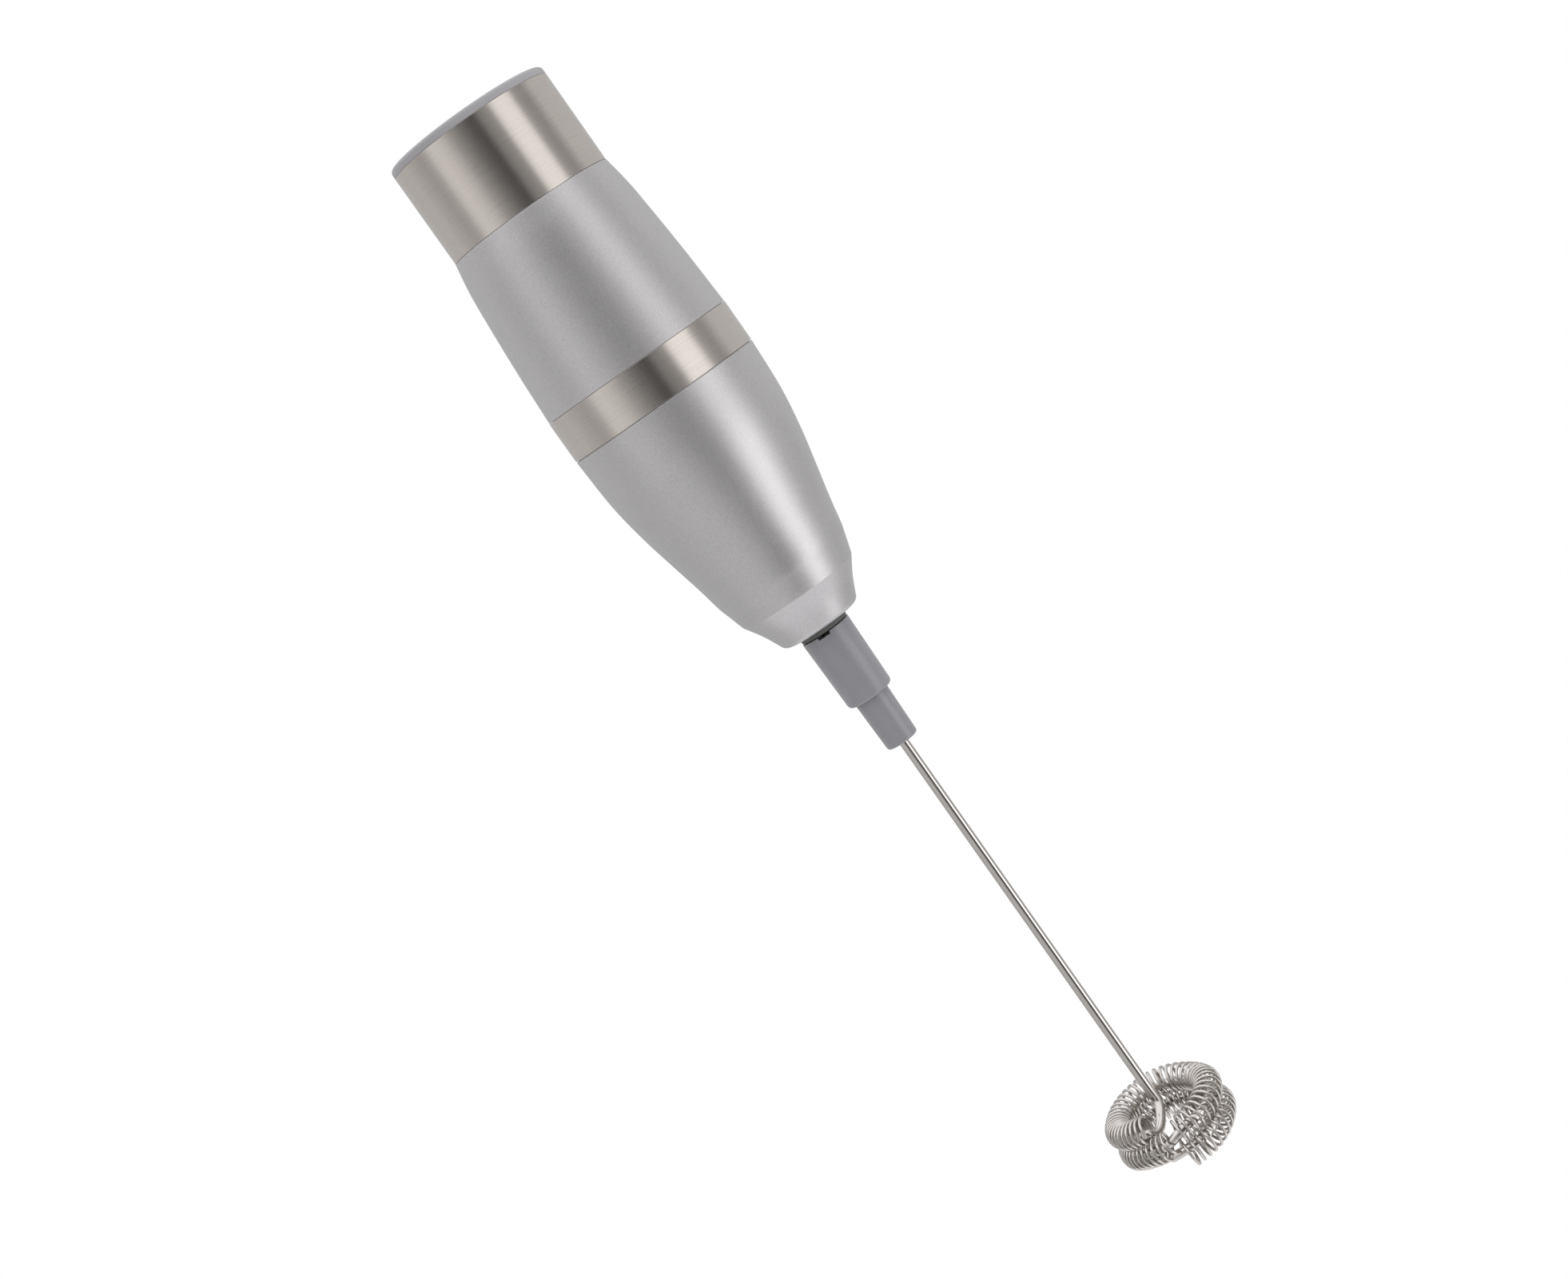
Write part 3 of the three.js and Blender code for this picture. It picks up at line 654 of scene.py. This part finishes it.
def cell(number, x, low, upside_down):
    """An AA cell: a printed film jacket folded over both ends of a metal can."""
    jacket = rounded([
        (5.4, 0.05, 0.1), (CELL_R, 0.05, 0.5), (CELL_R, 49.05, 0.7), (5.6, 49.05, 0.1), (5.6, 48.8),
        (6.9, 48.6), (6.9, 0.5), (5.4, 0.35),
    ])
    can = rounded([
        (0, 0), (4.5, 0, 0.2), (4.9, 0.3, 0.2), (6.85, 0.45, 0.3), (6.85, 48.7, 0.3), (3.3, 48.85, 0.3),
        (2.7, 49.2, 0.1), (2.7, CELL_LENGTH, 0.35), (0, CELL_LENGTH),
    ], closed=False)

    def stand(point):
        height = low + (CELL_LENGTH - point.z if upside_down else point.z)
        return Vector((point.x + x, point.y, height))

    node = f"battery_{number}"
    jacket_mesh = lathe("jacket", jacket, SMALL, stand)
    can_mesh = lathe("can", can, SMALL, stand)
    piece(f"cell_jacket_{number}", jacket_mesh, "handle", "cell_jacket", node)
    piece(f"cell_can_{number}", can_mesh, "handle", "zinc_steel", node)


def battery_frame():
    """Two round plates on two columns, with two feet that hold the motor down."""
    plates = {
        "frame_floor": (14.4, FLOOR_Z, FLOOR_TOP),
        "frame_roof": (14.3, ROOF_Z, ROOF_TOP),
    }
    for name, (radius, low, high) in plates.items():
        outline = rounded([(0, low), (radius, low, 0.3), (radius, high, 0.3), (0, high)], closed=False)
        piece(name, lathe(name, outline), "handle", "dark_plastic", "battery_frame")
    column = rounded([
        (0, -17.4), (3.0, -17.4), (2.4, -16.7, 0.5), (2.4, 37.5, 0.5), (3.0, 38.3), (0, 38.3),
    ], closed=False)
    foot = rounded([(0, -21.2), (1.5, -21.2, 0.2), (1.5, -19.0), (0, -19.0)], closed=False)
    for number, side in ((1, 1), (2, -1)):
        column_mesh = turned_at("column", column, COLUMN_Y * side)
        foot_mesh = turned_at("foot", foot, FOOT_Y * side)
        piece(f"frame_column_{number}", column_mesh, "handle", "dark_plastic", "battery_frame")
        piece(f"frame_foot_{number}", foot_mesh, "handle", "dark_plastic", "battery_frame")


def screws_and_posts():
    """The two screws of the battery frame and the shell's posts that they go into."""
    screw = rounded([
        (0, -26.5), (0.4, -26.5), (0.85, -25.9), (0.85, -17.0), (1.9, -17.0, 0.1), (1.9, -16.25, 0.45),
        (0.5, -15.85), (0.45, -16.3), (0, -16.4),
    ], closed=False)
    post = rounded([
        (1.15, -28.0), (1.15, -19.4, 0.2), (2.4, -19.4, 0.2), (2.4, -29.0), (2.0, -33.0), (0.9, -33.0),
    ])
    for number, side in ((1, 1), (2, -1)):
        screw_mesh = turned_at("screw", screw, SCREW_Y * side)
        post_mesh = turned_at("post", post, SCREW_Y * side)
        piece(f"frame_screw_head_{number}", screw_mesh, "handle", "zinc_steel", f"frame_screw_{number}")
        piece(f"screw_post_{number}", post_mesh, "handle", "silver_paint", "lower_shell")


def spring(name, path, body, node):
    """A spring of plated wire, in place of its CAD node."""
    return piece(name, rope(name, path, SPRING_WIRE_R, 10), body, "zinc_steel", node)


def springs():
    """The contact springs of the cells, and the button's return spring."""
    tail = spline([(-12.2, 3.0, -19.4), (-12.2, 3.0, -18.0), (-12.2, 3.0, -17.1), (-9.7, 4.6, -16.7)], 6)
    lower = [*tail, *coil(-CELL_X, 4.5, 2.8, -16.7, -13.6, 2.5, 90)]
    spring("cell_spring_1", lower, "handle", "battery_spring_1")
    upper = coil(CELL_X, 2.8, 4.6, 34.5, 36.8, 2.5)
    spring("cell_spring_2", upper, "handle", "battery_spring_2")
    under_button = coil(0, 5.5, 5.5, 48.45, 53.85, 3.5)
    return_spring = spring("button_return_spring", under_button, "cover", "button_spring")
    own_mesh(return_spring)


def motor_shaft():
    """Outline of the shaft, from the motor down into the coupling."""
    return rounded([
        (0, SHAFT_LOW), (SHAFT_R, SHAFT_LOW, 0.25), (SHAFT_R, SHAFT_TOP, 0.2), (0, SHAFT_TOP),
    ], closed=False)


def o_ring():
    """Outline of the rubber ring in the spigot's groove."""
    ring_r, cord_r, sides = 16.1, 0.45, 16
    angles = [2 * math.pi * k / sides for k in range(sides)]
    return [(ring_r + cord_r * math.cos(angle), cord_r * math.sin(angle)) for angle in angles]


cell(1, -CELL_X, CELL_1_LOW, False)
cell(2, CELL_X, CELL_2_LOW, True)
battery_frame()
screws_and_posts()
springs()
piece("motor_axle", lathe("motor_axle", motor_shaft(), SMALL), "drive", "bright_wire", "motor_shaft")
piece("seam_o_ring", lathe("o_ring", o_ring()), "handle", "dark_rubber", "cover_o_ring")


# ---------------------------------------------------------------- carried CAD nodes
def dress_cad_nodes():
    """Gives each CAD node that still shows the finish of its record slot."""
    for part in frame["record"]["subparts"]:
        thing = frame["nodes"][part["node"]]
        thing.data.materials.clear()
        thing.data.materials.append(MATERIALS[part["material_slot"]])


dress_cad_nodes()


# ---------------------------------------------------------------- studio
def read_off(tree, value, stops):
    """The level at a value, along a line of up to 32 (value, level) stops."""
    first, last = stops[0][0], stops[-1][0]
    share = add_node(tree, "MapRange", {"Value": value, "From Min": first, "From Max": last})
    ramp = add_node(tree, "ValToRGB", {"Fac": share.outputs["Result"]})
    elements = ramp.color_ramp.elements
    while len(elements) > 1:
        elements.remove(elements[-1])
    for i, (place, level) in enumerate(stops):
        position = (place - first) / (last - first)
        stop = elements[0] if i == 0 else elements.new(position)
        stop.position = position
        stop.color = (level, level, level, 1)
    return ramp.outputs["Color"]


def ease(tree, value, low, high):
    """A smooth step from 0 to 1 as the value goes from low to high."""
    step = add_node(
        tree, "MapRange", {"Value": value, "From Min": low, "From Max": high},
        interpolation_type="SMOOTHSTEP",
    )
    return step.outputs["Result"]


def studio_world():
    """White to the camera, and soft boxes and dark gaps all round for the reflections."""
    world = bpy.data.worlds.new("studio")
    bpy.context.scene.world = world
    world.use_nodes = True
    tree = world.node_tree
    tree.nodes.clear()

    # degrees round the object from the front, swayed a little with height
    place = add_node(tree, "TexCoord")
    axes = add_node(tree, "SeparateXYZ", {0: place.outputs["Generated"]})
    height = axes.outputs["Z"]
    front = add_node(tree, "Math", {0: axes.outputs["Y"], 1: -1.0}, operation="MULTIPLY")
    azimuth = add_node(tree, "Math", {0: axes.outputs["X"], 1: front.outputs[0]}, operation="ARCTAN2")
    around = add_node(tree, "Math", {0: azimuth.outputs[0]}, operation="DEGREES")
    sway = read_off(tree, height, [
        (-1, 0), (-0.67, 0), (-0.5, 0.55), (-0.15, 1), (-0.03, 0.9), (0.05, 0.1), (0.12, 0.1),
        (0.22, 1), (1, 1),
    ])
    swayed = add_node(tree, "Math", {0: sway, 1: -5.0, 2: around.outputs[0]}, operation="MULTIPLY_ADD")
    turn = swayed.outputs[0]

    # brightness round the object, level with it and lower down
    level = read_off(tree, turn, [
        (-180, 0.5), (-150, 0.6), (-116, 0.66), (-96, 0.55), (-84, 0.48), (-74, 0.56), (-66, 0.84),
        (-58, 0.9), (-45, 0.78), (-37, 0.62), (-29, 0.41), (-16, 0.22), (-8, 0.14), (-1, 0.1),
        (5, 0.09), (9, 0.16), (13, 0.3), (20, 0.36), (27, 0.44), (30, 0.62), (33, 1.0), (42, 1.16),
        (57, 1.12), (62, 0.85), (66, 0.48), (73, 0.4), (83, 0.38), (90, 0.5), (100, 0.68),
        (123, 0.68), (152, 0.6), (180, 0.5),
    ])
    low = read_off(tree, turn, [
        (-180, 0.5), (-150, 0.55), (-105, 0.58), (-75, 0.66), (-58, 0.68), (-28, 0.66), (-14, 0.46),
        (-4, 0.26), (4, 0.08), (20, 0.05), (27, 0.2), (31, 0.8), (34, 1.9), (58, 2.3), (64, 1.9),
        (70, 1.0), (78, 0.55), (93, 0.5), (116, 0.5), (150, 0.6), (180, 0.5),
    ])
    walls = mix(tree, ease(tree, height, -0.22, -0.06), low, level)
    over_ground = mix(tree, ease(tree, height, -0.97, -0.87), (1.05, 1.05, 1.05, 1), walls)
    room = mix(tree, ease(tree, height, 0.4, 0.75), over_ground, (1.3, 1.3, 1.32, 1))

    lit = add_node(tree, "Background", {"Color": room, "Strength": 1.0})
    white = add_node(tree, "Background", {"Color": (1, 1, 1, 1), "Strength": 1.0})
    seen = add_node(tree, "LightPath")
    both = add_node(tree, "MixShader", {
        0: seen.outputs["Is Camera Ray"], 1: lit.outputs[0], 2: white.outputs[0],
    })
    add_node(tree, "OutputWorld", {"Surface": both.outputs[0]})


def studio_floor():
    """A pale disc well below the whisk, out of the main view. Sizes in metres."""
    radius, level = 0.55, -0.62
    mesh = bpy.data.meshes.new("floor")
    work = bmesh.new()
    bmesh.ops.create_circle(work, cap_ends=True, radius=radius, segments=128)
    work.to_mesh(mesh)
    work.free()
    floor = bpy.data.objects.new("studio_floor", mesh)
    floor.location.z = level
    bpy.context.scene.collection.objects.link(floor)
    material, tree, shader = new_material("pale_floor")
    tone = shade(tree, grain(tree, 40.0), (0.8, 0.8, 0.8), (0.84, 0.84, 0.84))
    tree.links.new(tone, shader.inputs["Base Color"])
    shader.inputs["Roughness"].default_value = 0.7
    shader.inputs["Emission Color"].default_value = (1, 1, 1, 1)
    shader.inputs["Emission Strength"].default_value = 0.1
    mesh.materials.append(material)


def studio_camera():
    """The main view: nearly level, in front, the frother's top turned to the left."""
    place = Vector((-7.03, -484.75, 2.16)) * MM
    pitch = math.radians(6.3)
    roll = math.radians(35.245)
    forward = Vector((0, math.cos(pitch), -math.sin(pitch)))
    level_up = Vector((0, math.sin(pitch), math.cos(pitch)))
    level_right = Vector((1, 0, 0))
    right = level_right * math.cos(roll) - level_up * math.sin(roll)
    up = level_right * math.sin(roll) + level_up * math.cos(roll)
    data = bpy.data.cameras.new("camera")
    data.lens = 62.385
    data.sensor_width = 36.0
    camera = bpy.data.objects.new("camera", data)
    facing = Matrix((right, up, -forward)).transposed().to_4x4()
    camera.matrix_world = Matrix.Translation(place) @ facing
    bpy.context.scene.collection.objects.link(camera)
    bpy.context.scene.camera = camera


studio_world()
studio_floor()
studio_camera()
bpy.context.scene.view_settings.view_transform = "Standard"
